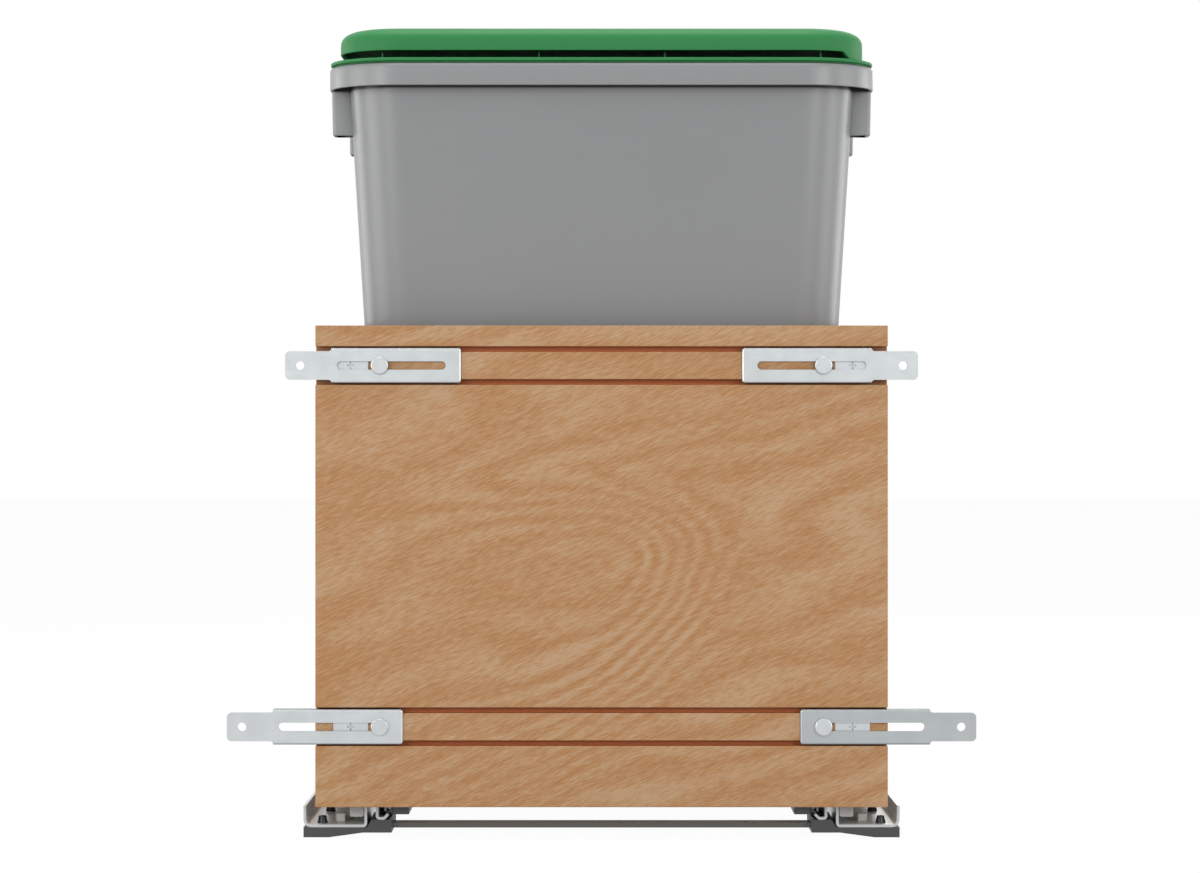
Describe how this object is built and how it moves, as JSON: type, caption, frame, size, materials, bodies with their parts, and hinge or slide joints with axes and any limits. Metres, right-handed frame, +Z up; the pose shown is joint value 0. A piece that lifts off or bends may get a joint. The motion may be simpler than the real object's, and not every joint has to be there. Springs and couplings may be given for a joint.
{
  "type": "pull-out waste unit",
  "caption": "Pull-out waste unit for a kitchen base cabinet: wooden box on soft-close runners with tall lidded bins and sliding steel door brackets.",
  "frame": {"origin": "on the cabinet floor, under the middle of the whole unit", "axes": "+Z up, -Y towards the cabinet door (pull direction), +X to the right seen from the door"},
  "size_m": [0.476, 0.554, 0.5193],
  "materials": {
    "zinc_steel": "bright zinc plate, satin",
    "black_screw": "black oxide, semi-matt",
    "foot_plastic": "dark grey moulded, fine grain",
    "tie_bar_steel": "dark grey coated steel strip",
    "white_plastic": "natural white moulded",
    "grey_plastic": "light grey moulded",
    "clip_plastic": "dark grey moulded",
    "wood_board": "clear lacquered light hardwood veneer",
    "bin_plastic": "silver grey moulded polypropylene",
    "lid_plastic": "green moulded polypropylene"
  },
  "bodies": {
    "root": {"left_cabinet_rail": "zinc_steel", "right_cabinet_rail": "zinc_steel", "left_rail_bumper": "white_plastic", "right_rail_bumper": "white_plastic", "left_soft_close_striker": "zinc_steel", "right_soft_close_striker": "zinc_steel", "left_front_foot": "foot_plastic", "right_front_foot": "foot_plastic", "left_rear_foot": "foot_plastic", "right_rear_foot": "foot_plastic", "front_tie_bar": "tie_bar_steel", "rear_tie_bar": "tie_bar_steel", "foot_screws": "black_screw"},
    "box": {"left_box_rail": "zinc_steel", "right_box_rail": "zinc_steel", "left_soft_close_housing": "grey_plastic", "right_soft_close_housing": "grey_plastic", "left_locking_clip": "clip_plastic", "right_locking_clip": "clip_plastic", "left_side_panel": "wood_board", "right_side_panel": "wood_board", "front_panel": "wood_board", "back_panel": "wood_board", "bottom_panel": "wood_board", "bin_divider": "wood_board", "clip_screws": "zinc_steel", "bracket_insert_plates": "zinc_steel", "insert_plate_screws": "zinc_steel", "bracket_clamp_screws": "zinc_steel", "clamp_insert_nuts": "zinc_steel"},
    "left_middle": {"left_middle_rail": "zinc_steel", "left_middle_end_cap": "grey_plastic"},
    "right_middle": {"right_middle_rail": "zinc_steel", "right_middle_end_cap": "grey_plastic"},
    "left_lower_cage": {"left_lower_roller_cage": "grey_plastic", "left_lower_rollers": "zinc_steel"},
    "right_lower_cage": {"right_lower_roller_cage": "grey_plastic", "right_lower_rollers": "zinc_steel"},
    "left_upper_cage": {"left_upper_roller_cage": "grey_plastic", "left_upper_rollers": "zinc_steel"},
    "right_upper_cage": {"right_upper_roller_cage": "grey_plastic", "right_upper_rollers": "zinc_steel"},
    "upper_left_bracket": {"upper_left_door_bracket": "zinc_steel"},
    "upper_right_bracket": {"upper_right_door_bracket": "zinc_steel"},
    "lower_left_bracket": {"lower_left_door_bracket": "zinc_steel"},
    "lower_right_bracket": {"lower_right_door_bracket": "zinc_steel"},
    "left_lever": {"left_release_lever": "clip_plastic"},
    "right_lever": {"right_release_lever": "clip_plastic"},
    "front_bin": {"front_bin": "bin_plastic"},
    "rear_bin": {"rear_bin": "bin_plastic"},
    "lid": {"lid_ring": "lid_plastic"},
    "lid_cap": {"lid_cap": "lid_plastic", "lid_hinge_pins": "zinc_steel"}
  },
  "joints": [
    {"name": "box_slide", "type": "slide", "parent": "root", "child": "box", "axis": [0, -1, 0], "range_m": [0, 0.53]},
    {"name": "left_middle_slide", "type": "slide", "parent": "root", "child": "left_middle", "axis": [0, -1, 0], "range_m": [0, 0.265]},
    {"name": "right_middle_slide", "type": "slide", "parent": "root", "child": "right_middle", "axis": [0, -1, 0], "range_m": [0, 0.265]},
    {"name": "left_lower_cage_slide", "type": "slide", "parent": "root", "child": "left_lower_cage", "axis": [0, -1, 0], "range_m": [0, 0.1325]},
    {"name": "right_lower_cage_slide", "type": "slide", "parent": "root", "child": "right_lower_cage", "axis": [0, -1, 0], "range_m": [0, 0.1325]},
    {"name": "left_upper_cage_slide", "type": "slide", "parent": "root", "child": "left_upper_cage", "axis": [0, -1, 0], "range_m": [0, 0.3975]},
    {"name": "right_upper_cage_slide", "type": "slide", "parent": "root", "child": "right_upper_cage", "axis": [0, -1, 0], "range_m": [0, 0.3975]},
    {"name": "upper_left_bracket_slide", "type": "slide", "parent": "box", "child": "upper_left_bracket", "axis": [-1, 0, 0], "range_m": [-0.024, 0.039]},
    {"name": "upper_right_bracket_slide", "type": "slide", "parent": "box", "child": "upper_right_bracket", "axis": [1, 0, 0], "range_m": [-0.024, 0.039]},
    {"name": "lower_left_bracket_slide", "type": "slide", "parent": "box", "child": "lower_left_bracket", "axis": [-1, 0, 0], "range_m": [-0.061, 0.002]},
    {"name": "lower_right_bracket_slide", "type": "slide", "parent": "box", "child": "lower_right_bracket", "axis": [1, 0, 0], "range_m": [-0.061, 0.002]},
    {"name": "left_lever_hinge", "type": "hinge", "parent": "box", "child": "left_lever", "pos_m": [-0.1292, -0.21695, 0.0184], "axis": [0, 0, 1], "range_deg": [0, 6], "stiffness_Nm_per_rad": 0.3},
    {"name": "right_lever_hinge", "type": "hinge", "parent": "box", "child": "right_lever", "pos_m": [0.1292, -0.21695, 0.0184], "axis": [0, 0, 1], "range_deg": [-6, 0], "stiffness_Nm_per_rad": 0.3},
    {"name": "front_bin_lift", "type": "slide", "parent": "box", "child": "front_bin", "axis": [0, 0, 1], "range_m": [0, 0.3]},
    {"name": "rear_bin_lift", "type": "slide", "parent": "box", "child": "rear_bin", "axis": [0, 0, 1], "range_m": [0, 0.3]},
    {"name": "lid_lift", "type": "slide", "parent": "front_bin", "child": "lid", "axis": [0, 0, 1], "range_m": [0, 0.05]},
    {"name": "lid_cap_hinge", "type": "hinge", "parent": "lid", "child": "lid_cap", "pos_m": [0.1671, -0.13395, 0.5026], "axis": [0, 1, 0], "range_deg": [0, 95]}
  ],
  "couplings": [
    {"joint": "left_middle_slide", "follows": "box_slide", "ratio": 0.5},
    {"joint": "left_lower_cage_slide", "follows": "box_slide", "ratio": 0.25},
    {"joint": "left_upper_cage_slide", "follows": "box_slide", "ratio": 0.75},
    {"joint": "right_middle_slide", "follows": "box_slide", "ratio": 0.5},
    {"joint": "right_lower_cage_slide", "follows": "box_slide", "ratio": 0.25},
    {"joint": "right_upper_cage_slide", "follows": "box_slide", "ratio": 0.75}
  ]
}
